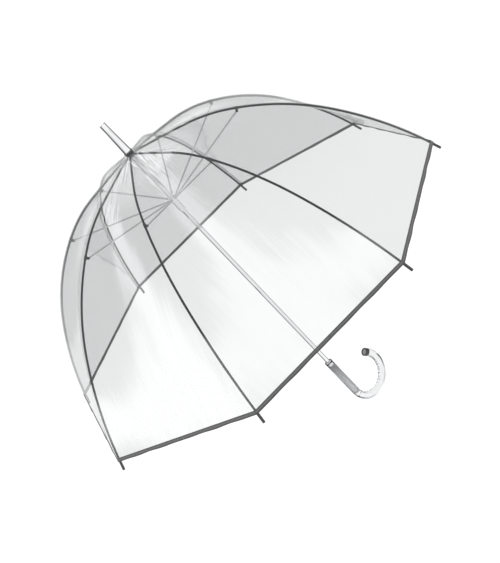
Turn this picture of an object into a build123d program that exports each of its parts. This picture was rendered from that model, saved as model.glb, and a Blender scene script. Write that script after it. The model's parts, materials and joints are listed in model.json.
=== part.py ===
from build123d import *
import os
from math import atan2, cos, degrees, hypot, pi, radians, sin, tan

# A clear dome umbrella, open and upright. Millimetres, +Z from the handle towards the ferrule.
# The origin is on the shaft's axis at the middle of the straight grip, and the hook lies in +X.

# Canopy
RIB_COUNT = 8
SECTOR = 360 / RIB_COUNT
CROWN_Z = 615.0  # the rib pivots above the middle of the grip
PIVOT_R = 9.0  # the circle of the rib pivots
RIB_START_TILT = 9.0  # how far the rib already falls where it leaves the notch
# Radius and turn of the rib's arcs, from crown to hem
RIB_ARCS = ((1851.0, 3.2), (271.4, 15.6), (442.0, 24.1), (682.0, 15.6))
RIB_R = 1.9
FILM_OFFSET = 3.1  # the rib's centreline to the film's inner face
FILM_T = 0.4
FILM_START = -4.0  # along the rib, from its pivot
SEAM_GAP = 0.15  # half the gap between neighbouring gores
HEM_OFFSET = 2.9
HEM_T = 1.2
HEM_W = 6.5
HEM_PAST = 0.5
HEM_CLEAR = 0.3

# Rib ends, and the joint part of the way along each rib
TIP_R = 2.4
TIP_BEFORE_HEM = 1.0
TIP_PAST_HEM = 17.0
TIP_WALL = 4.0
TANG_T = 1.6
TANG_LENGTH = 4.6
EYE_R = 1.8
JOINT_AT = 194.0  # along the rib, from its pivot
JOINT_DROP = 5.2  # the rib's centreline to the rivet
CLIP_LENGTH = 8.0
CLIP_R = 2.5
CLIP_BORE_R = 2.0
EAR_IN = 1.0
EAR_OUT = 2.2
EAR_R = 2.2
RIVET_R = 0.8
RIVET_HEAD_R = 1.5
RIVET_HEAD_T = 0.6

# Stretchers
STRETCHER_R = 1.5
STRETCHER_EYE_R = 2.0
STRETCHER_EYE_T = 1.8
STRETCHER_TOE_R = 1.15
JOINT_TANG = 5.5
TOE_TANG = 7.0
RUN_CLEARANCE = 0.05

# Shaft, ferrule and notch
SHAFT_R = 4.0
SHAFT_WALL = 0.5
SHAFT_BOTTOM = -42.0
SHAFT_ABOVE_CROWN = 30.0
FERRULE_BASE_R = 7.5
FERRULE_TIP_R = 6.0
FERRULE_TIP_STRAIGHT = 14.0
FERRULE_TOP = 72.5  # above the rib pivots
FERRULE_EDGE = 1.0
CAP_R = 8.6
CAP_BOTTOM = 4.5
CAP_TOP = 8.0
NOTCH_R = 11.5
NOTCH_LOW = -3.0
NOTCH_HIGH = 2.4
NOTCH_SLOT_R = 6.0
NOTCH_SLOT_W = 2.2
WIRE_R = 0.6
WIRE_HOLE_R = 0.7

# Runner
RUNNER_PIVOT_DROP = 110.0  # below the rib pivots, when open
RUNNER_PIVOT_R = 7.6
RUNNER_R = 5.8
RUNNER_BORE_R = 4.08
RUNNER_ABOVE = 6.0
RUNNER_BELOW = 28.0
FLANGE_R = 9.2
FLANGE_HALF = 3.0
FLANGE_SLOT_R = 5.5
FLANGE_SLOT_W = 2.2
RUNNER_WIRE_R = 0.4
RUNNER_WIRE_RING_R = 5.7
KEYWAY_W = 2.6
KEYWAY_R = 5.2

# Catches: a flat spring lever in a slot of the shaft, with a nose that stands out
CATCH_TURN = 202.5
CATCH_T = 1.6
CATCH_NOSE_R = 5.0
CATCH_LENGTH = 16.0
CATCH_NOSE_L = 3.0
CATCH_SLOT_GAP = 0.3
TOP_CATCH_GAP = 0.4
BOTTOM_CATCH_Z = 255.0

# Handle
GRIP_R = 8.0
GRIP_HALF = 45.0
HOOK_R = 43.0
HOOK_TURN = 215.0
MOUTH_R = 6.2
MOUTH_DEPTH = 8.0
COLLAR_DEPTH = 5.0
END_CAP_R = 8.3
END_CAP_LENGTH = 8.0
END_CAP_EDGE = 1.5


def rib_length():
    return sum(radius * radians(turn) for radius, turn in RIB_ARCS)


def station(along, offset=0.0):
    """The radius and height of a point of a rib's side view, and the rib's fall there in degrees.

    along is measured on the rib's centreline from its pivot, and offset is towards the outside."""
    radius_at, height, fall = PIVOT_R, CROWN_Z, RIB_START_TILT
    left = along
    for radius, turn in RIB_ARCS:
        if left <= 0:
            break
        step = min(left, radius * radians(turn))
        bend = degrees(step / radius)
        radius_at += radius * (sin(radians(fall + bend)) - sin(radians(fall)))
        height += radius * (cos(radians(fall + bend)) - cos(radians(fall)))
        fall += bend
        left -= step
    radius_at += left * cos(radians(fall)) + offset * sin(radians(fall))
    height += -left * sin(radians(fall)) + offset * cos(radians(fall))
    return radius_at, height, fall


def stops(start, end, pieces=1):
    """Lengths along the rib that bound its arcs between start and end, each cut into equal pieces."""
    bounds = [start]
    total = 0.0
    for radius, turn in RIB_ARCS:
        bounds.append(total)
        total += radius * radians(turn)
    bounds += [total, end]
    bounds = sorted(b for b in set(bounds) if start <= b <= end)
    cut = []
    for low, high in zip(bounds, bounds[1:]):
        cut += [low + (high - low) * i / pieces for i in range(pieces)]
    return cut + [end]


def side_edges(start, end, offset=0.0, squeeze=1.0, pieces=1):
    """The rib's line in the XZ plane as arcs. squeeze scales the radius, for the middle of a gore."""
    marks = stops(start, end, pieces)
    edges = []
    for low, high in zip(marks, marks[1:]):
        three = []
        for along in (low, (low + high) / 2, high):
            radius, height, _ = station(along, offset)
            three.append((radius * squeeze, 0, height))
        if low < 0 or low >= rib_length():
            edges.append(Line(three[0], three[2]))
        else:
            edges.append(ThreePointArc(*three))
    return edges


def turned(shape, azimuth):
    return Rot(0, 0, azimuth) * shape


def along_y(radius, length, x, z):
    """A round pin across the rib's plane."""
    return Pos(x, 0, z) * Rot(90, 0, 0) * Cylinder(radius, length)


def rod_between(start, end, radius):
    """A straight round rod in the XZ plane."""
    run = (end[0] - start[0], 0, end[1] - start[1])
    middle = Plane(origin=(start[0], 0, start[1]), z_dir=run)
    return middle * Cylinder(radius, hypot(*run), align=(Align.CENTER, Align.CENTER, Align.MIN))


def plate_between(start, end, width, thickness):
    """A flat strip in the XZ plane, width across its run and thickness along Y."""
    run = (end[0] - start[0], end[1] - start[1])
    turn = degrees(atan2(run[1], run[0]))
    strip = Box(hypot(*run), thickness, width, align=(Align.MIN, Align.CENTER, Align.CENTER))
    return Pos(start[0], 0, start[1]) * Rot(0, -turn, 0) * strip


def rib():
    """A round rod bent to the dome's side view, with a flat eye that turns on the notch wire."""
    end = rib_length() + TIP_PAST_HEM - TIP_WALL
    path = Wire(side_edges(TANG_LENGTH, end))
    radius, height, fall = station(TANG_LENGTH)
    across = Plane(origin=(radius, 0, height), z_dir=(cos(radians(fall)), 0, -sin(radians(fall))))
    rod = sweep(across * Circle(RIB_R), path=path)
    tang = plate_between((PIVOT_R, CROWN_Z), station(TANG_LENGTH + 2)[:2], 2 * EYE_R, TANG_T)
    eye = along_y(EYE_R, TANG_T, PIVOT_R, CROWN_Z)
    hole = along_y(WIRE_HOLE_R, 2 * TANG_T, PIVOT_R, CROWN_Z)
    return rod + tang + eye - hole


def rib_tip():
    """A moulded cap on the rib's end, which holds the hem's corner."""
    low = station(rib_length() - TIP_BEFORE_HEM)
    high = station(rib_length() + TIP_PAST_HEM)
    cap = rod_between(low[:2], high[:2], TIP_R)
    cap = fillet(cap.edges().sort_by(Axis.Z)[0], TIP_R / 2)
    seat = sweep(
        Plane(origin=(low[0], 0, low[1]), z_dir=(high[0] - low[0], 0, high[1] - low[1]))
        * Circle(RIB_R),
        path=Wire(side_edges(rib_length() - TIP_BEFORE_HEM, rib_length() + TIP_PAST_HEM - TIP_WALL)),
    )
    return cap - seat


def joint_point():
    """The rivet between a rib and its stretcher, inside the rib."""
    return station(JOINT_AT, -JOINT_DROP)


def rib_joint():
    """A clip round the rib with two ears, and the rivet that the stretcher turns on."""
    radius, height, fall = station(JOINT_AT)
    pin_x, pin_z, _ = joint_point()
    run = (cos(radians(fall)), 0, -sin(radians(fall)))
    on_rib = Plane(origin=(radius, 0, height), z_dir=run)
    clip = on_rib * Cylinder(CLIP_R, CLIP_LENGTH)
    lug = along_y(EAR_R, 2 * EAR_OUT, pin_x, pin_z)
    lug += plate_between((radius, height), (pin_x, pin_z), 2 * EAR_R, 2 * EAR_OUT)
    far = station(JOINT_AT, -JOINT_DROP - 2 * EAR_R)[:2]
    near = station(JOINT_AT, -CLIP_R)[:2]
    slot = plate_between(near, far, 2 * CLIP_LENGTH, 2 * EAR_IN)
    clip = clip + (lug - slot)
    clip -= on_rib * Cylinder(CLIP_BORE_R, 2 * CLIP_LENGTH)
    clip -= along_y(RIVET_R, 4 * EAR_OUT, pin_x, pin_z)
    rivet = along_y(RIVET_R, 2 * EAR_OUT, pin_x, pin_z)
    for side in (-1, 1):
        head = Pos(0, side * (EAR_OUT + RIVET_HEAD_T / 2), 0)
        rivet += head * along_y(RIVET_HEAD_R, RIVET_HEAD_T, pin_x, pin_z)
    return [clip, rivet]


def toe_point():
    return RUNNER_PIVOT_R, CROWN_Z - RUNNER_PIVOT_DROP


def stretcher():
    """A straight rod from the rib's rivet to the runner, flattened to an eye at each end."""
    pin = joint_point()[:2]
    toe = toe_point()
    length = hypot(pin[0] - toe[0], pin[1] - toe[1])

    def on_run(distance):
        share = distance / length
        return pin[0] + (toe[0] - pin[0]) * share, pin[1] + (toe[1] - pin[1]) * share

    body = rod_between(on_run(JOINT_TANG), on_run(length - TOE_TANG), STRETCHER_R)
    body += plate_between(pin, on_run(JOINT_TANG + 3), 2 * STRETCHER_R, STRETCHER_EYE_T)
    body += plate_between(on_run(length - TOE_TANG - 3), toe, 2 * STRETCHER_TOE_R, TANG_T)
    body += along_y(STRETCHER_EYE_R, STRETCHER_EYE_T, *pin)
    body += along_y(STRETCHER_TOE_R, TANG_T, *toe)
    body -= along_y(RIVET_R + RUN_CLEARANCE, 2 * STRETCHER_EYE_T, *pin)
    return body - along_y(RUNNER_WIRE_R + RUN_CLEARANCE, 2 * TANG_T, *toe)


def gore_wedge():
    """The space of one gore about the XZ plane, a little short of its two ribs."""
    reach = 700
    start = SEAM_GAP / sin(radians(SECTOR / 2))
    half = reach * tan(radians(SECTOR / 2))
    outline = make_face(Polyline((start, 0), (start + reach, half), (start + reach, -half), close=True))
    return Pos(0, 0, CROWN_Z - reach) * extrude(outline, 2 * reach)


def panel(start, end, offset, thickness):
    """A strip of canopy between two lengths along the rib: flat across, curved down its middle."""
    squeeze = cos(radians(SECTOR / 2))
    inner = Wire(side_edges(start, end, offset, squeeze, 2))
    outer = Wire(side_edges(start, end, offset + thickness, squeeze, 2))
    rims = [Line(inner @ 0, outer @ 0), Line(inner @ 1, outer @ 1)]
    section = make_face(inner.edges() + outer.edges() + rims)
    wide = station(rib_length())[0]
    sheet = extrude(section, amount=wide, dir=(0, 1, 0), both=True)
    return sheet & gore_wedge()


def canopy_gore():
    return panel(FILM_START, rib_length() - HEM_W - HEM_CLEAR, FILM_OFFSET, FILM_T)


def hem_binding():
    return panel(rib_length() - HEM_W, rib_length() + HEM_PAST, HEM_OFFSET, HEM_T)


def ring(outer, inner, low, high):
    """A flat ring about the shaft."""
    solid = Cylinder(outer, high - low) - Cylinder(inner, high - low)
    return Pos(0, 0, (low + high) / 2) * solid


def star_slots(from_r, to_r, width, low, high):
    """Radial slots, one for each rib."""
    slot = Box(to_r - from_r, width, high - low, align=(Align.MIN, Align.CENTER, Align.MIN))
    return [turned(Pos(from_r, 0, low) * slot, SECTOR * i) for i in range(RIB_COUNT)]


def catch_block(low):
    """The lever's outline, flat at its top and sloping back into the shaft below it."""
    outline = Polyline(
        (0, low),
        (SHAFT_R - CATCH_SLOT_GAP, low),
        (CATCH_NOSE_R, low + CATCH_LENGTH - CATCH_NOSE_L),
        (CATCH_NOSE_R, low + CATCH_LENGTH),
        (0, low + CATCH_LENGTH),
        close=True,
    )
    block = extrude(Plane.XZ * make_face(outline), CATCH_T / 2, both=True)
    return turned(block, CATCH_TURN)


def top_catch_low():
    return CROWN_Z - RUNNER_PIVOT_DROP - RUNNER_BELOW - TOP_CATCH_GAP - CATCH_LENGTH


def shaft_slot(low):
    slot = Box(
        2 * SHAFT_R,
        CATCH_T + 2 * CATCH_SLOT_GAP,
        CATCH_LENGTH + 2 * CATCH_SLOT_GAP,
        align=(Align.MIN, Align.CENTER, Align.MIN),
    )
    return turned(Pos(0, 0, low - CATCH_SLOT_GAP) * slot, CATCH_TURN)


def shaft_tube():
    tube = ring(SHAFT_R, SHAFT_R - SHAFT_WALL, SHAFT_BOTTOM, CROWN_Z + SHAFT_ABOVE_CROWN)
    for low in (top_catch_low(), BOTTOM_CATCH_Z):
        tube -= shaft_slot(low)
    return tube


def ferrule():
    """A tapered metal tip, closed at its top, seated on the crown cap."""
    low, top = CROWN_Z + CAP_TOP, CROWN_Z + FERRULE_TOP
    straight = top - FERRULE_TIP_STRAIGHT
    outline = Polyline(
        (0, low),
        (FERRULE_BASE_R, low),
        (FERRULE_TIP_R, straight),
        (FERRULE_TIP_R, top - FERRULE_EDGE),
        (FERRULE_TIP_R - FERRULE_EDGE, top),
        (0, top),
        close=True,
    )
    body = revolve(Plane.XZ * make_face(outline), Axis.Z)
    seat = CROWN_Z + SHAFT_ABOVE_CROWN
    return body - Pos(0, 0, (low + seat) / 2) * Cylinder(SHAFT_R, seat - low)


def crown_cap():
    """A collar that clamps the film's centre down on the notch."""
    cap = ring(CAP_R, SHAFT_R, CROWN_Z + CAP_BOTTOM, CROWN_Z + CAP_TOP)
    return fillet(cap.edges().filter_by(GeomType.CIRCLE).sort_by(SortBy.RADIUS)[-2:], 1.0)


def wire_ring(ring_r, wire_r, height):
    return Pos(0, 0, height) * Torus(ring_r, wire_r)


def top_notch():
    body = ring(NOTCH_R, SHAFT_R, CROWN_Z + NOTCH_LOW, CROWN_Z + NOTCH_HIGH)
    for slot in star_slots(NOTCH_SLOT_R, 2 * NOTCH_R, NOTCH_SLOT_W, CROWN_Z - 9, CROWN_Z + 9):
        body -= slot
    return body - wire_ring(PIVOT_R, WIRE_R, CROWN_Z)


def runner():
    """The sliding sleeve, with a slotted flange for the stretchers and a keyway past the catches."""
    pivot = CROWN_Z - RUNNER_PIVOT_DROP
    body = ring(RUNNER_R, RUNNER_BORE_R, pivot - RUNNER_BELOW, pivot + RUNNER_ABOVE)
    flange = ring(FLANGE_R, RUNNER_BORE_R, pivot - FLANGE_HALF, pivot + FLANGE_HALF)
    for slot in star_slots(FLANGE_SLOT_R, 2 * FLANGE_R, FLANGE_SLOT_W, pivot - 9, pivot + 9):
        flange -= slot
    body += flange
    body -= wire_ring(RUNNER_WIRE_RING_R, RUNNER_WIRE_R, pivot)
    key = Box(KEYWAY_R, KEYWAY_W, 90, align=(Align.MIN, Align.CENTER, Align.CENTER))
    return body - turned(Pos(0, 0, pivot) * key, CATCH_TURN)


def handle_path(turn_from=0.0, turn_to=HOOK_TURN):
    """A stretch of the hook's arc, in the XZ plane, by its turn from the straight grip."""
    points = []
    for turn in (turn_from, (turn_from + turn_to) / 2, turn_to):
        x = HOOK_R - HOOK_R * cos(radians(turn))
        z = -GRIP_HALF - HOOK_R * sin(radians(turn))
        points.append((x, 0, z))
    return ThreePointArc(*points)


def handle():
    """A J-shaped moulding: a straight grip with a socket for the shaft, and a round hook."""
    grip = Cylinder(GRIP_R, 2 * GRIP_HALF)
    hook = sweep(Plane(origin=(0, 0, -GRIP_HALF), z_dir=(0, 0, -1)) * Circle(GRIP_R), path=handle_path())
    mouth = Pos(0, 0, GRIP_HALF - MOUTH_DEPTH / 2) * Cylinder(MOUTH_R, MOUTH_DEPTH)
    socket = Pos(0, 0, (SHAFT_BOTTOM + GRIP_HALF) / 2) * Cylinder(SHAFT_R, GRIP_HALF - SHAFT_BOTTOM)
    return grip + hook - socket - mouth


def handle_collar():
    """The ring that centres the shaft in the grip's open mouth."""
    low = GRIP_HALF - MOUTH_DEPTH
    return ring(MOUTH_R, SHAFT_R, low, low + COLLAR_DEPTH)


def handle_end_cap():
    """A plug over the hook's open end, in line with the arc there."""
    arc = handle_path()
    cap = Plane(origin=arc @ 1, z_dir=arc % 1) * Cylinder(
        END_CAP_R, END_CAP_LENGTH, align=(Align.CENTER, Align.CENTER, Align.MIN)
    )
    far = cap.edges().filter_by(GeomType.CIRCLE).sort_by(lambda e: (e.center() - arc @ 1).length)
    return fillet(far[-1], END_CAP_EDGE)


def write(name, solids):
    """Writes one node: a single solid, or a group of them."""
    group = solids if isinstance(solids, list) else [solids]
    loose = []
    for item in group:
        loose += item.solids()
    shape = loose[0] if len(loose) == 1 else Compound(children=loose)
    export_step(shape, f"parts/{name}.step")


def build():
    os.makedirs("parts", exist_ok=True)
    for name, make in (
        ("shaft_tube", shaft_tube),
        ("ferrule", ferrule),
        ("crown_cap", crown_cap),
        ("top_notch", top_notch),
        ("runner", runner),
        ("handle", handle),
        ("handle_collar", handle_collar),
        ("handle_end_cap", handle_end_cap),
    ):
        write(name, make())
    write("notch_wire", wire_ring(PIVOT_R, WIRE_R, CROWN_Z))
    runner_pivot = CROWN_Z - RUNNER_PIVOT_DROP
    write("runner_wire", wire_ring(RUNNER_WIRE_RING_R, RUNNER_WIRE_R, runner_pivot))
    write("top_catch", catch_block(top_catch_low()))
    write("bottom_catch", catch_block(BOTTOM_CATCH_Z))
    on_rib = {"rib": rib(), "rib_tip": rib_tip(), "rib_joint": rib_joint(), "stretcher": stretcher()}
    on_gore = {"canopy_gore": canopy_gore(), "hem_binding": hem_binding()}
    for number in range(RIB_COUNT):
        azimuth = SECTOR * number
        for name, solids in on_rib.items():
            group = solids if isinstance(solids, list) else [solids]
            write(f"{name}_{number + 1}", [turned(solid, azimuth) for solid in group])
        for name, solid in on_gore.items():
            write(f"{name}_{number + 1}", turned(solid, azimuth + SECTOR / 2))


build()
pin_x, pin_z, _ = joint_point()
toe_x, toe_z = toe_point()
tip_r, tip_z, _ = station(rib_length())
print(f"rib {rib_length():.1f} long, hem corner at radius {tip_r:.1f}, height {tip_z:.1f}")
print(f"rivet at radius {pin_x:.2f}, height {pin_z:.2f}")
print(f"stretcher {hypot(pin_x - toe_x, pin_z - toe_z):.2f} between its eyes")
print(f"hook arc {HOOK_R * HOOK_TURN * pi / 180:.1f} long")
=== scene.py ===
"""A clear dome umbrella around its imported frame: film, hem, finishes and a plain studio."""

import json
from math import cos, pi, radians, sin

import bmesh
import bpy
import numpy as np
from bpy.props import FloatProperty, IntProperty, PointerProperty, StringProperty
from mathutils import Matrix, Vector


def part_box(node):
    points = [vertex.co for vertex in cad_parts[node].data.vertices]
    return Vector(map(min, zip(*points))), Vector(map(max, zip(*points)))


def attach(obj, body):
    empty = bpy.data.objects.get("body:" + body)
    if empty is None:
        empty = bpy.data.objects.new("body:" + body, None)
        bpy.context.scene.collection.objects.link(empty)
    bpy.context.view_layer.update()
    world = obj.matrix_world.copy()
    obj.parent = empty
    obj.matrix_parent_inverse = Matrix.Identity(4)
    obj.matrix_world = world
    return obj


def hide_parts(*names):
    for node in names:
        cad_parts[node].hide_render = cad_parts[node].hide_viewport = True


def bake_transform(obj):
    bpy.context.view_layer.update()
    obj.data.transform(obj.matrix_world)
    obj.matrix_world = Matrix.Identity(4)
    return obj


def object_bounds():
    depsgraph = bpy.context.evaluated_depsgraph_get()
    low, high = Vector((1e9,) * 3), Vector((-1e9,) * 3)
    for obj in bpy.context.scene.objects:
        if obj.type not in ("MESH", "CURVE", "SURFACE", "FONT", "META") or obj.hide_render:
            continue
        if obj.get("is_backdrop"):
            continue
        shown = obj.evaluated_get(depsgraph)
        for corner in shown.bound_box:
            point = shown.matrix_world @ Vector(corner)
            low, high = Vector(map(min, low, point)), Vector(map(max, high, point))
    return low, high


bl_info = {
    "name": "Clear dome umbrella",
    "version": (1, 0, 0),
    "blender": (4, 5, 0),
    "location": "View3D > Sidebar > Umbrella",
    "description": "Builds the film, the hem, the handle and the finishes of a dome umbrella",
    "category": "Object",
}

MM = 0.001
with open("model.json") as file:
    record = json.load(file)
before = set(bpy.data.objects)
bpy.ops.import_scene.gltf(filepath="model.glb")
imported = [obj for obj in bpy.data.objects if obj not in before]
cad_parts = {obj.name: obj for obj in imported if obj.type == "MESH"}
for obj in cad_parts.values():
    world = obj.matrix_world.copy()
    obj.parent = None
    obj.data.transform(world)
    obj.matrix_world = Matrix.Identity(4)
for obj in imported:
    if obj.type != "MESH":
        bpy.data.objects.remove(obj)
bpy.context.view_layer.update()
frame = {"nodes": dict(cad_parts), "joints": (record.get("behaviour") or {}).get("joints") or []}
NODES = frame["nodes"]
JOINTS = {joint["name"]: joint for joint in frame["joints"]}
RIB_COUNT = sum(1 for name in JOINTS if name.startswith("rib_"))
SECTOR = 2 * pi / RIB_COUNT
PIVOT = Vector(JOINTS["rib_1_fold"]["pos_m"])

# The rib's side view, as in the frame: its first tilt, then arcs of a radius and a turn.
RIB_TILT = radians(9.0)
RIB_ARCS = (
    (1851 * MM, radians(3.2)),
    (271.4 * MM, radians(15.6)),
    (442 * MM, radians(24.1)),
    (682 * MM, radians(15.6)),
)
RIB_LENGTH = sum(radius * turn for radius, turn in RIB_ARCS)


# Sizes and colours that a user would change


class FilmSettings(bpy.types.PropertyGroup):
    offset: FloatProperty(
        name="Offset", description="Rib centreline to film", default=3.3 * MM, unit="LENGTH"
    )
    start: FloatProperty(
        name="Start", description="Along the rib from its pivot", default=-4 * MM, unit="LENGTH"
    )
    bow: FloatProperty(
        name="Bow", description="How far taut film dips between ribs", default=10 * MM, unit="LENGTH"
    )
    fold_width: FloatProperty(
        name="Fold width", description="Film that bends as it folds", default=110 * MM, unit="LENGTH"
    )
    rows: IntProperty(name="Rows", description="Faces along a rib", default=96, min=8)
    columns: IntProperty(name="Columns", description="Faces across half a gore", default=24, min=4)
    tint: StringProperty(name="Tint", description="What the film lets through", default="#e3e4e4")
    haze: StringProperty(name="Haze", description="The film's own faint colour", default="#f2f3f4")


class HemSettings(bpy.types.PropertyGroup):
    width: FloatProperty(
        name="Width", description="Tape folded over the edge", default=7 * MM, unit="LENGTH"
    )
    thickness: FloatProperty(
        name="Thickness", description="Both layers of tape", default=1.2 * MM, unit="LENGTH"
    )
    ripple: FloatProperty(
        name="Ripple", description="How far the free edge waves", default=0.8 * MM, unit="LENGTH"
    )
    stitch_pitch: FloatProperty(
        name="Stitch pitch", description="Stitch to stitch", default=3.2 * MM, unit="LENGTH"
    )
    stitch_length: FloatProperty(
        name="Stitch length", description="Thread that shows", default=2.2 * MM, unit="LENGTH"
    )
    stitch_radius: FloatProperty(
        name="Thread radius", description="Radius of the thread", default=0.22 * MM, unit="LENGTH"
    )
    tape_colour: StringProperty(name="Tape", description="Woven tape", default="#4c4c4c")
    thread_colour: StringProperty(name="Thread", description="Sewing thread", default="#707070")


class HandleSettings(bpy.types.PropertyGroup):
    radius: FloatProperty(
        name="Radius", description="Of the grip's section", default=8 * MM, unit="LENGTH"
    )
    hook_radius: FloatProperty(
        name="Hook radius", description="Of the hook's centreline", default=43 * MM, unit="LENGTH"
    )
    hook_turn: FloatProperty(
        name="Hook turn", description="From the grip", default=radians(215), subtype="ANGLE"
    )
    sleeve_radius: FloatProperty(
        name="Sleeve radius", description="Metal sleeve in the grip", default=5.5 * MM, unit="LENGTH"
    )
    mouth_radius: FloatProperty(
        name="Mouth radius", description="Of the open mouth", default=6.2 * MM, unit="LENGTH"
    )
    mouth_depth: FloatProperty(
        name="Mouth depth", description="Of the open mouth", default=8 * MM, unit="LENGTH"
    )
    lip: FloatProperty(
        name="Lip", description="Rounding of the moulded edges", default=0.9 * MM, unit="LENGTH"
    )
    ripple: FloatProperty(
        name="Ripple", description="Finger ripples inside the hook", default=0.4 * MM, unit="LENGTH"
    )
    ring_radius: FloatProperty(
        name="Ring radius", description="Of the hook's end ring", default=8.3 * MM, unit="LENGTH"
    )
    ring_length: FloatProperty(
        name="Ring length", description="Of the hook's end ring", default=8 * MM, unit="LENGTH"
    )


class FinishSettings(bpy.types.PropertyGroup):
    rib_colour: StringProperty(name="Ribs", description="Pultruded rods", default="#1f1f20")
    tip_colour: StringProperty(name="Caps", description="Moulded caps", default="#3a3a3a")
    crown_colour: StringProperty(name="Crown", description="Moulded crown", default="#5a5a5a")
    stretcher_colour: StringProperty(name="Stretchers", description="Steel", default="#cfd0d1")
    chrome_colour: StringProperty(name="Plating", description="Bright plate", default="#f5f6f7")
    spring_colour: StringProperty(name="Springs", description="Bare steel", default="#7c7d80")
    # This dark colour is the hook's end ring and also the painted shade round the handle's mouth.
    end_ring_and_mouth_shade_colour: StringProperty(name="Rims", description="Dark rims", default="#2c2c2c")


class StageSettings(bpy.types.PropertyGroup):
    azimuth: FloatProperty(name="Azimuth", description="Camera", default=radians(243.4), subtype="ANGLE")
    elevation: FloatProperty(
        name="Elevation", description="Camera", default=radians(23.69), subtype="ANGLE"
    )
    roll: FloatProperty(name="Roll", description="Camera", default=radians(43.69), subtype="ANGLE")
    distance: FloatProperty(name="Distance", description="Camera", default=1.869, unit="LENGTH")
    aim_height: FloatProperty(name="Aim", description="On the shaft", default=0.2855, unit="LENGTH")
    aim_side: FloatProperty(name="Side", description="To the right", default=-2.2 * MM, unit="LENGTH")
    lens: FloatProperty(name="Lens", description="Focal length in millimetres", default=72.2)
    floor_drop: FloatProperty(
        name="Floor drop", description="Floor below the hook", default=0.45, unit="LENGTH"
    )


# Small helpers


def linear(colour):
    """An sRGB hex colour as linear RGBA."""
    parts = [int(colour[i : i + 2], 16) / 255 for i in (1, 3, 5)]
    return [c / 12.92 if c <= 0.04045 else ((c + 0.055) / 1.055) ** 2.4 for c in parts] + [1.0]


def add_node(tree, kind, settings=None, inputs=None):
    """Adds a node, sets its properties, and fills or links its inputs by name or number."""
    node = tree.nodes.new(kind)
    for key, value in (settings or {}).items():
        setattr(node, key, value)
    for key, value in (inputs or {}).items():
        if isinstance(value, bpy.types.NodeSocket):
            tree.links.new(value, node.inputs[key])
        else:
            node.inputs[key].default_value = value
    return node


def new_material(name):
    """An empty node material and its tree."""
    material = bpy.data.materials.new(name)
    material.use_nodes = True
    material.node_tree.nodes.clear()
    return material, material.node_tree


def finish_material(tree, surface):
    add_node(tree, "ShaderNodeOutputMaterial", None, {"Surface": surface})


def per_metre(millimetres):
    """A texture scale whose cells are this many millimetres across."""
    return 1 / (millimetres * MM)


def mesh_object(name, points, faces, material, uvs=None):
    """A smooth mesh at the origin, with one UV for each point if given."""
    mesh = bpy.data.meshes.new(name)
    mesh.from_pydata([tuple(p) for p in points], [], faces)
    mesh.materials.append(material)
    mesh.polygons.foreach_set("use_smooth", [True] * len(mesh.polygons))
    if uvs is not None:
        layer = mesh.uv_layers.new(name="UVMap")
        for loop in mesh.loops:
            layer.data[loop.index].uv = uvs[loop.vertex_index]
    mesh.update()
    piece = bpy.data.objects.new(name, mesh)
    bpy.context.scene.collection.objects.link(piece)
    return piece


def paint(node, material):
    """Gives a frame node its material."""
    data = NODES[node].data
    data.materials.clear()
    data.materials.append(material)


# The shape of the canopy


def rib_point(along, offset):
    """The radius, height and fall of a point of a rib's side view. offset is towards the outside."""
    radius_at, height, fall = PIVOT.xy.length, PIVOT.z, RIB_TILT
    left = along
    for radius, turn in RIB_ARCS:
        if left <= 0:
            break
        bend = min(left / radius, turn)
        radius_at += radius * (sin(fall + bend) - sin(fall))
        height += radius * (cos(fall + bend) - cos(fall))
        fall += bend
        left -= radius * bend
    return (
        radius_at + left * cos(fall) + offset * sin(fall),
        height - left * sin(fall) + offset * cos(fall),
        fall,
    )


def azimuth_of(number):
    """The direction of a rib from the shaft."""
    pivot = JOINTS[f"rib_{number}_fold"]["pos_m"]
    return np.arctan2(pivot[1], pivot[0])


def gore_point(azimuth, side, along, across, offset, bow):
    """A point of the canopy from a rib (across 0) to the middle of the gore beside it (across 1)."""
    radius, height, fall = rib_point(along, offset)
    half = side * SECTOR / 2
    out = Vector((cos(azimuth), sin(azimuth), 0))
    middle = Vector((cos(azimuth + half), sin(azimuth + half), 0))
    flat = (out * radius).lerp(middle * radius * cos(half), across)
    inward = Vector((-middle.x * sin(fall), -middle.y * sin(fall), -cos(fall)))
    share = min(max(along / RIB_LENGTH, 0), 1)
    dip = bow * sin(pi * share) * (1 - (1 - across) ** 2)
    return flat + Vector((0, 0, height)) + inward * dip


def halves():
    """Each half gore: its number, its letter, its rib and the side of that rib it lies on."""
    for number in range(1, RIB_COUNT + 1):
        yield number, "a", number, 1
        yield number, "b", number % RIB_COUNT + 1, -1


def fold_with(piece):
    """Bakes the piece's placement into its mesh."""
    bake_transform(piece)


# Materials


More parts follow.
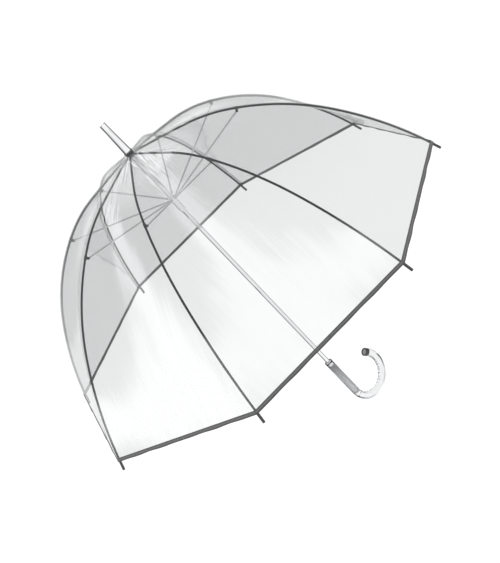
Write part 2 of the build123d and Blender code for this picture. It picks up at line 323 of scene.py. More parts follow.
def film_material(settings):
    """Cast clear PVC: it lets most light through, mirrors what is bright on both its skins, more
    so at a glance, and has soft draw streaks along the gore with a slow ripple."""
    material, tree = new_material("cast_clear_pvc_film")
    place = add_node(tree, "ShaderNodeUVMap", {"uv_map": "UVMap"}).outputs[0]
    drawn = {"Vector": place, "Scale": (per_metre(11), per_metre(150), 1)}
    streaks = add_node(tree, "ShaderNodeMapping", None, drawn).outputs[0]
    noise = add_node(tree, "ShaderNodeTexNoise", None, {"Vector": streaks, "Scale": 1, "Detail": 3})
    slow = {"Vector": place, "Scale": (per_metre(70), per_metre(120), 1)}
    waves = add_node(tree, "ShaderNodeMapping", None, slow).outputs[0]
    ripple = add_node(tree, "ShaderNodeTexNoise", None, {"Vector": waves, "Scale": 1, "Detail": 1})
    bump = add_node(
        tree,
        "ShaderNodeBump",
        None,
        {"Height": ripple.outputs[0], "Distance": 2.5 * MM, "Strength": 0.5},
    )
    fine = add_node(
        tree,
        "ShaderNodeBump",
        None,
        {
            "Height": noise.outputs[0],
            "Distance": 0.25 * MM,
            "Strength": 0.5,
            "Normal": bump.outputs[0],
        },
    )
    along = add_node(tree, "ShaderNodeSeparateXYZ", None, {0: place}).outputs["Y"]
    gathered = add_node(
        tree,
        "ShaderNodeMapRange",
        {"interpolation_type": "SMOOTHSTEP"},
        {"Value": along, "From Min": 20 * MM, "From Max": 190 * MM, "To Min": 1.0, "To Max": 0.0},
    )
    pleated = {"Vector": place, "Scale": (per_metre(8), per_metre(120), 1)}
    folds = add_node(tree, "ShaderNodeMapping", None, pleated).outputs[0]
    pleats = add_node(
        tree,
        "ShaderNodeTexNoise",
        None,
        {"Vector": folds, "Scale": 1, "Detail": 1, "Distortion": 0.4},
    )
    crown = add_node(
        tree,
        "ShaderNodeBump",
        None,
        {
            "Height": pleats.outputs[0],
            "Distance": 3 * MM,
            "Strength": gathered.outputs[0],
            "Normal": fine.outputs[0],
        },
    )
    shine = add_node(
        tree,
        "ShaderNodeBsdfPrincipled",
        None,
        {
            "Base Color": linear(settings.haze),
            "Metallic": 0.85,
            "Roughness": 0.09,
            "Normal": crown.outputs[0],
        },
    )
    clear = add_node(tree, "ShaderNodeBsdfTransparent", None, {"Color": linear(settings.tint)})
    skin = add_node(tree, "ShaderNodeFresnel", None, {"IOR": 1.53})
    grain = add_node(
        tree,
        "ShaderNodeMapRange",
        None,
        {"Value": noise.outputs[0], "From Min": 0.3, "From Max": 0.75, "To Min": 0.0, "To Max": 0.035},
    )
    both = add_node(
        tree,
        "ShaderNodeMath",
        {"operation": "MULTIPLY_ADD", "use_clamp": True},
        {0: skin.outputs[0], 1: 1.7, 2: grain.outputs[0]},
    )
    most = add_node(tree, "ShaderNodeMath", {"operation": "MINIMUM"}, {0: both.outputs[0], 1: 0.5})
    mix = add_node(
        tree,
        "ShaderNodeMixShader",
        None,
        {0: most.outputs[0], 1: clear.outputs[0], 2: shine.outputs[0]},
    )
    finish_material(tree, mix.outputs[0])
    return material


def woven_material(name, colour, thread_mm, width=0.0):
    """Polyester tape woven plain: over and under threads, a soft sheen and no shine. The real
    threads are about a third of this across, too fine to show."""
    material, tree = new_material(name)
    place = add_node(tree, "ShaderNodeUVMap", {"uv_map": "UVMap"}).outputs[0]
    waves = []
    for direction in ("X", "Y"):
        waves.append(
            add_node(
                tree,
                "ShaderNodeTexWave",
                {"wave_type": "BANDS", "bands_direction": direction},
                {"Vector": place, "Scale": per_metre(thread_mm) / 20, "Distortion": 0.4},
            ).outputs[0]
        )
    weave = add_node(tree, "ShaderNodeMath", {"operation": "MULTIPLY"}, {0: waves[0], 1: waves[1]})
    bump = add_node(
        tree,
        "ShaderNodeBump",
        None,
        {"Height": weave.outputs[0], "Distance": 0.15 * MM, "Strength": 0.7},
    )
    dark = [c * 0.72 for c in linear(colour)[:3]] + [1.0]
    shade = add_node(
        tree,
        "ShaderNodeMix",
        {"data_type": "RGBA"},
        {0: weave.outputs[0], 6: dark, 7: linear(colour)},
    ).outputs[2]
    # Given a width, a band along the middle of the tape's width is painted lighter: a painted highlight.
    if width:
        drop = add_node(tree, "ShaderNodeSeparateXYZ", None, {0: place}).outputs["Y"]
        off = add_node(tree, "ShaderNodeMath", {"operation": "SUBTRACT"}, {0: drop, 1: width / 2})
        away = add_node(tree, "ShaderNodeMath", {"operation": "ABSOLUTE"}, {0: off.outputs[0]})
        painted_highlight_band = add_node(
            tree,
            "ShaderNodeMapRange",
            {"interpolation_type": "SMOOTHSTEP"},
            {
                "Value": away.outputs[0],
                "From Min": width * 0.12,
                "From Max": width * 0.34,
                "To Min": 0.5,
                "To Max": 0.0,
            },
        )
        shade = add_node(
            tree,
            "ShaderNodeMix",
            {"data_type": "RGBA"},
            {0: painted_highlight_band.outputs[0], 6: shade, 7: linear("#767676")},
        ).outputs[2]
    shader = add_node(
        tree,
        "ShaderNodeBsdfPrincipled",
        None,
        {
            "Base Color": shade,
            "Roughness": 0.78,
            "Sheen Weight": 0.25,
            "Sheen Roughness": 0.5,
            "Normal": bump.outputs[0],
        },
    )
    finish_material(tree, shader.outputs[0])
    return material


def moulded_material(name, colour, grain_mm, roughness, coat=0.0):
    """Moulded or pultruded plastic: an even colour, a fine grain, slightly uneven gloss."""
    material, tree = new_material(name)
    place = add_node(tree, "ShaderNodeTexCoord").outputs["Object"]
    noise = add_node(
        tree,
        "ShaderNodeTexNoise",
        None,
        {"Vector": place, "Scale": per_metre(grain_mm), "Detail": 3},
    )
    gloss = add_node(
        tree,
        "ShaderNodeMapRange",
        None,
        {"Value": noise.outputs[0], "To Min": roughness - 0.08, "To Max": roughness + 0.08},
    )
    bump = add_node(
        tree,
        "ShaderNodeBump",
        None,
        {"Height": noise.outputs[0], "Distance": 0.04 * MM, "Strength": 0.5},
    )
    dark = [c * 0.8 for c in linear(colour)[:3]] + [1.0]
    shade = add_node(
        tree,
        "ShaderNodeMix",
        {"data_type": "RGBA"},
        {0: noise.outputs[0], 6: dark, 7: linear(colour)},
    )
    shader = add_node(
        tree,
        "ShaderNodeBsdfPrincipled",
        None,
        {
            "Base Color": shade.outputs[2],
            "Roughness": gloss.outputs[0],
            "IOR": 1.5,
            "Coat Weight": coat,
            "Normal": bump.outputs[0],
        },
    )
    finish_material(tree, shader.outputs[0])
    return material


def metal_material(name, colour, roughness, streak_mm, metallic=1.0):
    """Plated or bare steel: bright, with fine draw lines along the part and faint handling marks."""
    material, tree = new_material(name)
    place = add_node(tree, "ShaderNodeTexCoord").outputs["Object"]
    drawn = add_node(
        tree,
        "ShaderNodeMapping",
        None,
        {"Vector": place, "Scale": (per_metre(streak_mm), per_metre(streak_mm), per_metre(60))},
    )
    noise = add_node(
        tree,
        "ShaderNodeTexNoise",
        None,
        {"Vector": drawn.outputs[0], "Scale": 1, "Detail": 3},
    )
    gloss = add_node(
        tree,
        "ShaderNodeMapRange",
        None,
        {"Value": noise.outputs[0], "To Min": roughness * 0.6, "To Max": roughness * 1.4},
    )
    bump = add_node(
        tree,
        "ShaderNodeBump",
        None,
        {"Height": noise.outputs[0], "Distance": 0.01 * MM, "Strength": 0.3},
    )
    shader = add_node(
        tree,
        "ShaderNodeBsdfPrincipled",
        None,
        {
            "Base Color": linear(colour),
            "Metallic": metallic,
            "Roughness": gloss.outputs[0],
            "Normal": bump.outputs[0],
        },
    )
    finish_material(tree, shader.outputs[0])
    return material


def acrylic_material(hook):
    """Cast acrylic: water clear, with polished skin, the slight ripples of its mould, and crazed
    flecks along the hook's inner side. hook is the centre and the radius of its bend."""
    material, tree = new_material("cast_clear_acrylic")
    place = add_node(tree, "ShaderNodeTexCoord").outputs["Object"]
    noise = add_node(
        tree,
        "ShaderNodeTexNoise",
        None,
        {"Vector": place, "Scale": per_metre(9), "Detail": 1},
    )
    bump = add_node(
        tree,
        "ShaderNodeBump",
        None,
        {"Height": noise.outputs[0], "Distance": 0.4 * MM, "Strength": 0.4},
    )
    flat = add_node(tree, "ShaderNodeVectorMath", {"operation": "MULTIPLY"}, {0: place, 1: (1, 0, 1)})
    away = add_node(
        tree, "ShaderNodeVectorMath", {"operation": "DISTANCE"}, {0: flat.outputs[0], 1: hook[0]}
    ).outputs["Value"]
    inner = add_node(
        tree,
        "ShaderNodeMapRange",
        {"interpolation_type": "SMOOTHSTEP"},
        {
            "Value": away,
            "From Min": hook[1] - 5.5 * MM,
            "From Max": hook[1] + 0.5 * MM,
            "To Min": 1.0,
            "To Max": 0.0,
        },
    )
    cells = add_node(
        tree,
        "ShaderNodeTexVoronoi",
        {"feature": "SMOOTH_F1"},
        {"Vector": place, "Scale": per_metre(3.6), "Smoothness": 0.3, "Randomness": 1.0},
    )
    flecks = add_node(
        tree,
        "ShaderNodeBump",
        None,
        {
            "Height": cells.outputs["Distance"],
            "Distance": 2.2 * MM,
            "Strength": inner.outputs[0],
            "Normal": bump.outputs[0],
        },
    )
    shader = add_node(
        tree,
        "ShaderNodeBsdfPrincipled",
        None,
        {
            "Base Color": linear("#f5f6f7"),
            "Roughness": 0.02,
            "IOR": 1.49,
            "Transmission Weight": 1.0,
            "Normal": flecks.outputs[0],
        },
    )
    finish_material(tree, shader.outputs[0])
    return material


# Film


class UMBRELLA_OT_film(bpy.types.Operator):
    """Builds the clear film as two halves for each gore"""

    bl_idname = "umbrella.film"
    bl_label = "Film"

    def execute(self, context):
        settings = context.scene.umbrella_film
        hem = context.scene.umbrella_hem
        material = film_material(settings)
        end = RIB_LENGTH - hem.width * 0.4
        length = end - settings.start
        for number, letter, rib, side in halves():
            azimuth = azimuth_of(rib)
            points, uvs = [], []
            for row in range(settings.rows + 1):
                along = settings.start + length * row / settings.rows
                for column in range(settings.columns + 1):
                    across = column / settings.columns
                    point = gore_point(azimuth, side, along, across, settings.offset, settings.bow)
                    points.append(point)
                    width = rib_point(along, 0)[0] * sin(SECTOR / 2)
                    uvs.append((side * width * (1 - across) + number, along))
            stride = settings.columns + 1
            faces = []
            for row in range(settings.rows):
                for column in range(settings.columns):
                    corner = row * stride + column
                    face = (corner, corner + stride, corner + stride + 1, corner + 1)
                    faces.append(face if side > 0 else face[::-1])
            film = mesh_object(f"film_{number}_{letter}", points, faces, material, uvs)
            width = rib_point(end, 0)[0] * sin(SECTOR / 2)
            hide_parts(f"canopy_gore_{number}")
            fold_with(film)
        return {"FINISHED"}


# Hem


def hem_line(azimuth, side, across, settings, drop):
    """A point on the tape's middle, drop down from its upper edge, with the hem's soft waves."""
    along = RIB_LENGTH - settings.width + drop
    film = bpy.context.scene.umbrella_film
    point = gore_point(azimuth, side, along, across, film.offset, 0)
    half = azimuth + side * SECTOR / 2
    wave = sin(pi * across) * sin(5 * pi * across + 3 * azimuth) * settings.ripple
    return point + Vector((cos(half), sin(half), 0)) * wave * drop / settings.width


def tape_section(settings):
    """The folded tape's outline: out from its face, and down from its upper edge."""
    half = settings.thickness / 2
    turns = 6
    outline = [(-half, 0), (-half, settings.width - half)]
    for step in range(1, turns):
        angle = pi * step / turns
        outline.append((-half * cos(angle), settings.width - half + half * sin(angle)))
    outline += [(half, settings.width - half), (half, 0)]
    return outline


def stitch_tree(material):
    """Stitches set along a line at their pitch, as capped runs of thread."""
    tree = bpy.data.node_groups.new("hem_stitches", "GeometryNodeTree")
    face = tree.interface
    face.new_socket("Geometry", in_out="INPUT", socket_type="NodeSocketGeometry")
    for label in ("Pitch", "Length", "Radius"):
        face.new_socket(label, in_out="INPUT", socket_type="NodeSocketFloat")
    face.new_socket("Geometry", in_out="OUTPUT", socket_type="NodeSocketGeometry")
    given = add_node(tree, "NodeGroupInput").outputs
    line = add_node(tree, "GeometryNodeMeshToCurve", None, {"Mesh": given["Geometry"]})
    spaced = add_node(
        tree,
        "GeometryNodeCurveToPoints",
        {"mode": "LENGTH"},
        {"Curve": line.outputs[0], "Length": given["Pitch"]},
    )
    thread = add_node(
        tree,
        "GeometryNodeMeshCylinder",
        None,
        {"Vertices": 8, "Radius": given["Radius"], "Depth": given["Length"]},
    )
    placed = add_node(
        tree,
        "GeometryNodeInstanceOnPoints",
        None,
        {
            "Points": spaced.outputs["Points"],
            "Instance": thread.outputs["Mesh"],
            "Rotation": spaced.outputs["Rotation"],
        },
    )
    real = add_node(tree, "GeometryNodeRealizeInstances", None, {"Geometry": placed.outputs[0]})
    coloured = add_node(
        tree, "GeometryNodeSetMaterial", None, {"Geometry": real.outputs[0], "Material": material}
    )
    add_node(tree, "NodeGroupOutput", None, {0: coloured.outputs[0]})
    return tree


def run_tree(piece, tree, values):
    """Runs a node tree on a piece and leaves a plain mesh with no modifier."""
    modifier = piece.modifiers.new(tree.name, "NODES")
    modifier.node_group = tree
    for item in tree.interface.items_tree:
        if item.in_out == "INPUT" and item.name in values:
            modifier[item.identifier] = values[item.name]
    evaluated = piece.evaluated_get(bpy.context.evaluated_depsgraph_get())
    mesh = bpy.data.meshes.new_from_object(evaluated)
    piece.modifiers.remove(modifier)
    old = piece.data
    piece.data = mesh
    bpy.data.meshes.remove(old)
    return piece


class UMBRELLA_OT_hem(bpy.types.Operator):
    """Builds the woven tape folded over the film's edge, with its stitches"""

    bl_idname = "umbrella.hem"
    bl_label = "Hem"

    def execute(self, context):
        settings = context.scene.umbrella_hem
        tape = woven_material("woven_polyester_tape", settings.tape_colour, 1.2, settings.width)
        thread = woven_material("spun_polyester_thread", settings.thread_colour, 0.5)
        tree = stitch_tree(thread)
        section = tape_section(settings)
        steps = 40
        for number, letter, rib, side in halves():
            azimuth = azimuth_of(rib)
            half = azimuth + side * SECTOR / 2
            fall = rib_point(RIB_LENGTH, 0)[2]
            outward = Vector((cos(half) * sin(fall), sin(half) * sin(fall), cos(fall)))
            points, uvs, faces = [], [], []
            for step in range(steps + 1):
                across = step / steps
                for out, drop in section:
                    points.append(hem_line(azimuth, side, across, settings, drop) + outward * out)
                    uvs.append((across * rib_point(RIB_LENGTH, 0)[0] * sin(SECTOR / 2), drop + out))
            stride = len(section)
            for step in range(steps):
                for place in range(stride):
                    nearer = step * stride + place
                    beside = step * stride + (place + 1) % stride
                    face = (nearer, beside, beside + stride, nearer + stride)
                    faces.append(face if side > 0 else face[::-1])
            first = tuple(range(stride))
            last = tuple(range(steps * stride, (steps + 1) * stride))
            faces += [first[::-1], last] if side > 0 else [first, last[::-1]]
            piece = mesh_object(f"hem_tape_{number}_{letter}", points, faces, tape, uvs)
            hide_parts(f"hem_binding_{number}")
            fold_with(piece)
            rows = []
            for out in (-1, 1):
                rows.append(
                    [
                        hem_line(azimuth, side, step / steps, settings, settings.width * 0.3)
                        + outward * out * settings.thickness / 2
                        for step in range(1, steps + 1)
                    ]
                )
            mesh = bpy.data.meshes.new("row")
            count = len(rows[0])
            edges = [(i, i + 1) for i in range(count - 1)]
            edges += [(i + count, i + count + 1) for i in range(count - 1)]
            mesh.from_pydata(rows[0] + rows[1], edges, [])
            stitches = bpy.data.objects.new(f"hem_stitches_{number}_{letter}", mesh)
            context.scene.collection.objects.link(stitches)
            values = {
                "Pitch": settings.stitch_pitch,
                "Length": settings.stitch_length,
                "Radius": settings.stitch_radius,
            }
            run_tree(stitches, tree, values)
            fold_with(stitches)
        return {"FINISHED"}


# Handle


def tube_rings(rings, sides):
    """Points and faces of a tube through (centre, across, up, radius) rings, joined end to end."""
    points, faces = [], []
    for centre, across, up, radius in rings:
        for side in range(sides):
            turn = 2 * pi * side / sides
            points.append(centre + (across * cos(turn) + up * sin(turn)) * radius)
    for ring in range(len(rings) - 1):
        for side in range(sides):
            beside = (side + 1) % sides
            low, high = ring * sides, (ring + 1) * sides
            faces.append((low + side, low + beside, high + beside, high + side))
    return points, faces


class UMBRELLA_OT_handle(bpy.types.Operator):
    """Builds the clear J handle, with the shaft's socket in its straight grip"""

    bl_idname = "umbrella.handle"
    bl_label = "Handle"

    def execute(self, context):
        settings = context.scene.umbrella_handle
        shaft_low, shaft_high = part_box("shaft_tube")
        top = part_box("handle")[1].z
        bend = -top
        shaft_radius = (shaft_high.x - shaft_low.x) / 2
        sleeve = settings.sleeve_radius
        gap = 0.05 * MM
        across, up, along = Vector((1, 0, 0)), Vector((0, 1, 0)), Vector((0, 0, 1))
        foot = [
            (shaft_low.z - 8 * MM, 0.02 * MM),
            (shaft_low.z - 7.4 * MM, sleeve * 0.4),
            (shaft_low.z - 5 * MM, sleeve * 0.75),
            (shaft_low.z - 1 * MM, sleeve - 0.25 * MM),
            (shaft_low.z + 2 * MM, sleeve),
            (top - settings.mouth_depth + gap, sleeve),
        ]
        inside = [(foot[-1][0], shaft_radius + gap), (shaft_low.z - gap, shaft_radius + gap)]
        inside.append((shaft_low.z - gap, 0.02 * MM))
        rings = [(along * height, across, up, radius) for height, radius in foot + inside]
        points, faces = tube_rings(rings, 48)
        faces += [tuple(range(48))[::-1], tuple(range(len(points) - 48, len(points)))]
        brushed = metal_material("brushed_aluminium_sleeve", "#eff0f1", 0.42, 0.8, 0.5)
        core = mesh_object("grip_sleeve", points, faces, brushed)
        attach(core, "shaft")
        # The dark ring round the mouth is painted shade: a dark bead where the clear acrylic's edge
        # looks dark.
        shade_bead = settings.lip
        points, faces = [], []
        turns, sides = 96, 12
        for turn in range(turns):
            angle = 2 * pi * turn / turns
            out = Vector((cos(angle), sin(angle), 0))
            middle = out * (settings.mouth_radius + shade_bead) + along * (top + shade_bead * 0.2)
            here = turn * sides
            after = (turn + 1) % turns * sides
            for side in range(sides):
                bend_at = 2 * pi * side / sides
                around = out * cos(bend_at) + along * sin(bend_at) * 0.7
                points.append(middle + around * shade_bead * 1.08)
                beside = (side + 1) % sides
                faces.append((here + side, after + side, after + beside, here + beside))
        finish = context.scene.umbrella_finish
        # The end ring's dark colour also paints the shade ring at the mouth.
        rim = moulded_material("end_ring_abs_and_mouth_painted_shade", finish.end_ring_and_mouth_shade_colour, 0.9, 0.3, 0.4)
        mouth_shade_ring = mesh_object("mouth_painted_shade_ring", points, faces, rim)
        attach(mouth_shade_ring, "shaft")
        rings = [
            (along * (top - settings.mouth_depth), across, up, 0.02 * MM),
            (along * (top - settings.mouth_depth), across, up, settings.mouth_radius),
            (along * (top - settings.lip / 3), across, up, settings.mouth_radius),
            (along * top, across, up, settings.mouth_radius + settings.lip / 3),
            (along * top, across, up, settings.radius - settings.lip),
        ]
        for step in range(1, 5):
            angle = pi / 2 * step / 4
            height = top - settings.lip * (1 - cos(angle))
            radius = settings.radius - settings.lip * (1 - sin(angle))
            rings.append((along * height, across, up, radius))
        for step in range(1, 12):
            height = top - settings.lip - (top - settings.lip - bend) * step / 12
            rings.append((along * height, across, up, settings.radius))
        turns = 144
        hook = settings.hook_radius
        for step in range(turns + 1):
            angle = settings.hook_turn * step / turns
            centre = Vector((hook - hook * cos(angle), 0, bend - hook * sin(angle)))
            out = Vector((cos(angle), 0, sin(angle)))
            rings.append((centre, out, up, settings.radius))
        rings.append((centre, out, up, 0.02 * MM))
        sides = 48
        points, faces = tube_rings(rings, sides)
        first = len(rings) - turns - 2
        for step in range(turns + 1):
            inner = sin(pi * step / turns) ** 0.5
            wave = sin(step * 2 * pi / 7) + 0.6 * sin(step * 2 * pi / 4.3 + 1)
            centre = rings[first + step][0]
            for side in range(sides):
                share = max(cos(2 * pi * side / sides), 0) ** 2 * inner
                place = (first + step) * sides + side
                outward = (points[place] - centre).normalized()
                points[place] -= outward * share * (wave + 1.6) * settings.ripple
        clear = acrylic_material((Vector((hook, 0, bend)), hook))
        piece = mesh_object("acrylic_handle", points, faces, clear)
        shape = bmesh.new()
        shape.from_mesh(piece.data)
        bmesh.ops.holes_fill(shape, edges=shape.edges, sides=0)
        bmesh.ops.recalc_face_normals(shape, faces=shape.faces)
        shape.to_mesh(piece.data)
        shape.free()
        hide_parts("handle")
        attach(piece, "shaft")
        disc = moulded_material("moulded_abs_end_disc", "#8c8d8f", 0.7, 0.35, 0.2)
        angle = settings.hook_turn
        ahead = Vector((sin(angle), 0, -cos(angle)))
        out = Vector((cos(angle), 0, sin(angle)))
        centre = Vector((hook - hook * cos(angle), 0, bend - hook * sin(angle)))
        radius, depth = settings.ring_radius, settings.ring_length
        lip, recess = 1.0 * MM, 1.6 * MM
        bends = (0.4, 0.8, 1.2, pi / 2)
        profile = [(0.02 * MM, 0.1 * MM), (radius - lip, 0.1 * MM)]
        profile += [(radius - lip * (1 - sin(t)), lip * (1 - cos(t))) for t in bends]
        profile += [
            (radius - lip * (1 - cos(t)), depth - lip * (1 - sin(t))) for t in (0, *bends)
        ]
        profile += [(radius - 2 * lip, depth), (radius - 2.4 * lip, depth - 0.4 * lip)]
        inner = radius - 2.4 * lip
        profile += [(inner, depth - recess), (inner * 0.6, depth - recess * 0.7)]
        profile += [(0.02 * MM, depth - recess * 0.6)]
        rings = [(centre + ahead * along, out, up, r) for r, along in profile]
        sides = 48
        points, faces = tube_rings(rings, sides)
        faces += [tuple(range(sides))[::-1], tuple(range(len(points) - sides, len(points)))]
        ring = mesh_object("hook_end_ring", points, faces, rim)
        ring.data.materials.append(disc)
        first_of_disc = sides * (len(rings) - 3)
        back_face = len(faces) - 2
        for face in ring.data.polygons:
            on_disc = face.index >= first_of_disc and face.index != back_face
            face.material_index = 1 if on_disc else 0
        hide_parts("handle_end_cap")
        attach(ring, "shaft")
        return {"FINISHED"}


# Finishes of the frame's own pieces


class UMBRELLA_OT_finishes(bpy.types.Operator):
    """Gives the rods, caps, clips, springs and plated pieces their materials"""

    bl_idname = "umbrella.finishes"
    bl_label = "Finishes"

    def execute(self, context):
        settings = context.scene.umbrella_finish
        rod = moulded_material("pultruded_fibreglass_rod", settings.rib_colour, 2.5, 0.38, 0.2)
        cap = moulded_material("moulded_abs_caps", settings.tip_colour, 0.8, 0.34, 0.3)
        crown = moulded_material("moulded_abs_crown", settings.crown_colour, 0.9, 0.4)
        stretcher = metal_material("painted_steel_stretchers", settings.stretcher_colour, 0.4, 1.0, 0.3)
        chrome = metal_material("chromed_steel_tube", settings.chrome_colour, 0.05, 0.7)
        tip = metal_material("chromed_ferrule", settings.chrome_colour, 0.06, 1.2)
        sleeve = metal_material("nickel_plated_sleeve", settings.chrome_colour, 0.10, 0.8)
        spring = metal_material("bare_spring_steel", settings.spring_colour, 0.3, 0.6)
        for number in range(1, RIB_COUNT + 1):
            paint(f"rib_{number}", rod)
            paint(f"rib_tip_{number}", cap)
            paint(f"rib_joint_{number}", cap)
            paint(f"stretcher_{number}", stretcher)
        for node, material in (
            ("shaft_tube", chrome),
            ("ferrule", tip),
            ("runner", sleeve),
            ("runner_wire", spring),
            ("notch_wire", spring),
            ("top_catch", spring),
            ("bottom_catch", spring),
            ("crown_cap", crown),
            ("top_notch", crown),
            ("handle_collar", sleeve),
        ):
            paint(node, material)
        return {"FINISHED"}


# Stage


def softbox(name, place, aim, size, power):
    """A square area light, which mirrors don't show."""
    data = bpy.data.lights.new(name, "AREA")
    data.shape = "RECTANGLE"
    data.size, data.size_y = size
    data.energy = power
    light = bpy.data.objects.new(name, data)
    turn = (aim - place).to_track_quat("-Z", "Y").to_matrix().to_4x4()
    light.matrix_world = Matrix.Translation(place) @ turn
    light.visible_glossy = False
    light.visible_transmission = False
    bpy.context.scene.collection.objects.link(light)


def direction(azimuth, elevation):
    """A unit vector towards an azimuth and an elevation, in degrees."""
    a, e = radians(azimuth), radians(elevation)
    return Vector((cos(e) * cos(a), cos(e) * sin(a), sin(e)))


# Long light panels in the studio: two directions that each runs through, the direction of its
# middle, how far it reaches from there, its half width, all in degrees, and its brightness.
PANELS = (
    ((-107, 27), (56, 67), (-105, 70), 92, 4.2, 1.9),
    ((112, 46), (155, 17), (132, 35), 44, 5.0, 2.1),
    ((63, 0), (63, 90), (63, 24), 26, 24, 0.55),
)


# What mirrors see lower than the horizon, going round from the camera: an angle in degrees,
# negative to the left, and how bright it is there. Black cloth on the left and the right draws
# the dark edge lines of bright tubes.
SURROUND = (
    (-180, 1.0),
    (-152, 0.95),
    (-147, 0.04),
    (-92, 0.04),
    (-86, 0.40),
    (-64, 0.48),
    (-52, 1.0),
    (90, 1.0),
    (97, 0.05),
    (148, 0.05),
    (153, 0.95),
    (180, 1.0),
)


def studio_world(name, azimuth):
    """Even white for the eye and for soft light. Mirrors and clear plastic see a grey studio with
    a light horizon, the long panels, and black cloth low down on both sides of azimuth."""
    world = bpy.data.worlds.new(name)
    world.use_nodes = True
    tree = world.node_tree
    tree.nodes.clear()
    look = add_node(tree, "ShaderNodeTexCoord").outputs["Generated"]
    height = add_node(tree, "ShaderNodeSeparateXYZ", None, {0: look}).outputs["Z"]
    total = add_node(
        tree,
        "ShaderNodeMapRange",
        {"interpolation_type": "SMOOTHSTEP"},
        {"Value": height, "From Min": 0.05, "From Max": 0.6, "To Min": 0.66, "To Max": 0.42},
    ).outputs[0]
    for first, second, centre, reach, half, strength in PANELS:
        normal = direction(*first).cross(direction(*second)).normalized()
        off = add_node(
            tree, "ShaderNodeVectorMath", {"operation": "DOT_PRODUCT"}, {0: look, 1: normal}
        ).outputs["Value"]
        away = add_node(tree, "ShaderNodeMath", {"operation": "ABSOLUTE"}, {0: off}).outputs[0]
        across = add_node(
            tree,
            "ShaderNodeMapRange",
            {"interpolation_type": "SMOOTHSTEP"},
            {
                "Value": away,
                "From Min": sin(radians(half * 0.35)),
                "From Max": sin(radians(half * 1.65)),
                "To Min": strength,
                "To Max": 0.0,
            },
        ).outputs[0]
        near = add_node(
            tree,
            "ShaderNodeVectorMath",
            {"operation": "DOT_PRODUCT"},
            {0: look, 1: direction(*centre)},
        ).outputs["Value"]
        along = add_node(
            tree,
            "ShaderNodeMapRange",
            {"interpolation_type": "SMOOTHSTEP"},
            {"Value": near, "From Min": cos(radians(reach + 6)), "From Max": cos(radians(reach - 6))},
        ).outputs[0]
        total = add_node(
            tree, "ShaderNodeMath", {"operation": "MULTIPLY_ADD"}, {0: across, 1: along, 2: total}
        ).outputs[0]
    turned = add_node(
        tree, "ShaderNodeVectorRotate", {"rotation_type": "Z_AXIS"}, {"Vector": look, "Angle": -azimuth}
    )
    flat = add_node(tree, "ShaderNodeSeparateXYZ", None, {0: turned.outputs[0]}).outputs
    angle = add_node(tree, "ShaderNodeMath", {"operation": "ARCTAN2"}, {0: flat["Y"], 1: flat["X"]})
    share = add_node(
        tree,
        "ShaderNodeMapRange",
        None,
        {"Value": angle.outputs[0], "From Min": -pi, "From Max": pi},
    )
    ramp = add_node(tree, "ShaderNodeValToRGB", None, {0: share.outputs[0]})
    stops = ramp.color_ramp.elements
    for index, (turn, bright) in enumerate(SURROUND):
        place = (turn + 180) / 360
        stop = stops[index] if index < 2 else stops.new(place)
        stop.position = place
        stop.color = (bright, bright, bright, 1)
    under = add_node(
        tree,
        "ShaderNodeMapRange",
        {"interpolation_type": "SMOOTHSTEP"},
        {"Value": height, "From Min": -0.12, "From Max": -0.19},
    )
    steep = add_node(
        tree,
        "ShaderNodeMapRange",
        {"interpolation_type": "SMOOTHSTEP"},
        {"Value": height, "From Min": -0.54, "From Max": -0.62},
    )
    lower = add_node(
        tree,
        "ShaderNodeMix",
        {"data_type": "RGBA"},
        {0: steep.outputs[0], 6: ramp.outputs[0], 7: linear("#fafafa")},
    )
    whole = add_node(
        tree,
        "ShaderNodeMix",
        {"data_type": "RGBA"},
        {0: under.outputs[0], 6: total, 7: lower.outputs[2]},
    ).outputs[2]
    seen = add_node(tree, "ShaderNodeLightPath").outputs
    mirrored = add_node(
        tree,
        "ShaderNodeMath",
        {"operation": "ADD", "use_clamp": True},
        {0: seen["Is Glossy Ray"], 1: seen["Is Transmission Ray"]},
    )
    even = add_node(tree, "ShaderNodeBackground", None, {"Color": linear("#ffffff"), "Strength": 1.12})
    studio = add_node(tree, "ShaderNodeBackground", None, {"Color": whole})
    mix = add_node(
        tree,
        "ShaderNodeMixShader",
        None,
        {0: mirrored.outputs[0], 1: even.outputs[0], 2: studio.outputs[0]},
    )
    add_node(tree, "ShaderNodeOutputWorld", None, {"Surface": mix.outputs[0]})
    return world


def plain_material(name, colour):
    material, tree = new_material(name)
    shader = add_node(
        tree, "ShaderNodeBsdfPrincipled", None, {"Base Color": linear(colour), "Roughness": 0.9}
    )
    finish_material(tree, shader.outputs[0])
    return material


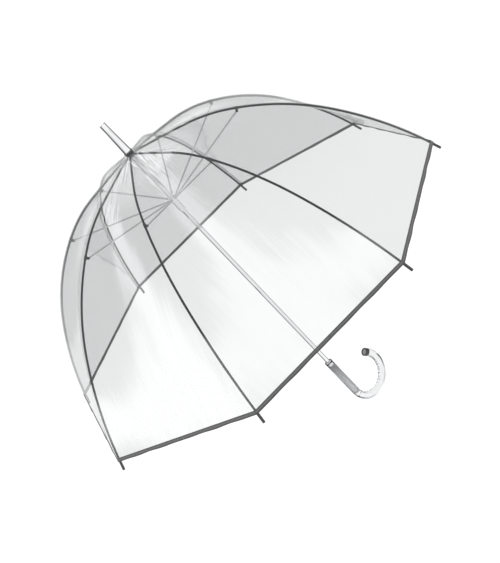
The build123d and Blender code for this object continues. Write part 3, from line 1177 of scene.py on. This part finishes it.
class UMBRELLA_OT_stage(bpy.types.Operator):
    """Adds the floor, the lights, the world and the camera"""

    bl_idname = "umbrella.stage"
    bl_label = "Stage"

    def execute(self, context):
        settings = context.scene.umbrella_stage
        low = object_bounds()[0]
        floor_z = low[2] - settings.floor_drop
        reach = 60
        corners = [(-1, -1), (1, -1), (1, 1), (-1, 1)]
        floor = mesh_object(
            "floor",
            [(x * reach, y * reach, floor_z) for x, y in corners],
            [(0, 1, 2, 3)],
            plain_material("matt_white_floor", "#f7f7f7"),
        )
        floor.visible_glossy = False
        floor.visible_transmission = False
        floor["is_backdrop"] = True
        context.scene.world = studio_world("studio", settings.azimuth)
        middle = Vector((0, 0, settings.aim_height))
        softbox("key", Vector((-1.8, -1.6, 2.6)), middle, (1.4, 1.4), 14)
        softbox("rim", Vector((1.6, 1.2, 2.2)), middle, (1.2, 1.2), 8)
        camera = bpy.data.cameras.new("camera")
        camera.sensor_fit = "HORIZONTAL"
        camera.lens = settings.lens
        camera.clip_end = 200
        eye = Vector(
            (
                cos(settings.elevation) * cos(settings.azimuth),
                cos(settings.elevation) * sin(settings.azimuth),
                sin(settings.elevation),
            )
        )
        ahead = -eye
        right = ahead.cross(Vector((0, 0, 1))).normalized()
        up = right.cross(ahead)
        turned_right = right * cos(settings.roll) - up * sin(settings.roll)
        turned_up = right * sin(settings.roll) + up * cos(settings.roll)
        axes = Matrix((turned_right, turned_up, -ahead)).transposed().to_4x4()
        view = bpy.data.objects.new("camera", camera)
        place = middle + eye * settings.distance + right * settings.aim_side
        view.matrix_world = Matrix.Translation(place) @ axes
        context.scene.collection.objects.link(view)
        context.scene.camera = view
        context.scene.view_settings.view_transform = "Standard"
        return {"FINISHED"}


class UMBRELLA_PT_panel(bpy.types.Panel):
    """Lists the umbrella's steps"""

    bl_label = "Umbrella"
    bl_idname = "UMBRELLA_PT_panel"
    bl_space_type = "VIEW_3D"
    bl_region_type = "UI"
    bl_category = "Umbrella"

    def draw(self, context):
        for step in STEPS:
            self.layout.operator(step.bl_idname)


STEPS = (
    UMBRELLA_OT_stage,
    UMBRELLA_OT_film,
    UMBRELLA_OT_hem,
    UMBRELLA_OT_handle,
    UMBRELLA_OT_finishes,
)
GROUPS = {
    "umbrella_film": FilmSettings,
    "umbrella_hem": HemSettings,
    "umbrella_handle": HandleSettings,
    "umbrella_finish": FinishSettings,
    "umbrella_stage": StageSettings,
}


def register():
    for name, group in GROUPS.items():
        bpy.utils.register_class(group)
        setattr(bpy.types.Scene, name, PointerProperty(type=group))
    for item in (*STEPS, UMBRELLA_PT_panel):
        bpy.utils.register_class(item)


def unregister():
    for item in reversed((*STEPS, UMBRELLA_PT_panel)):
        bpy.utils.unregister_class(item)
    for name, group in GROUPS.items():
        delattr(bpy.types.Scene, name)
        bpy.utils.unregister_class(group)


def main():
    register()
    for step in STEPS:
        family, action = step.bl_idname.split(".")
        getattr(getattr(bpy.ops, family), action)()


if __name__ == "__main__":
    main()
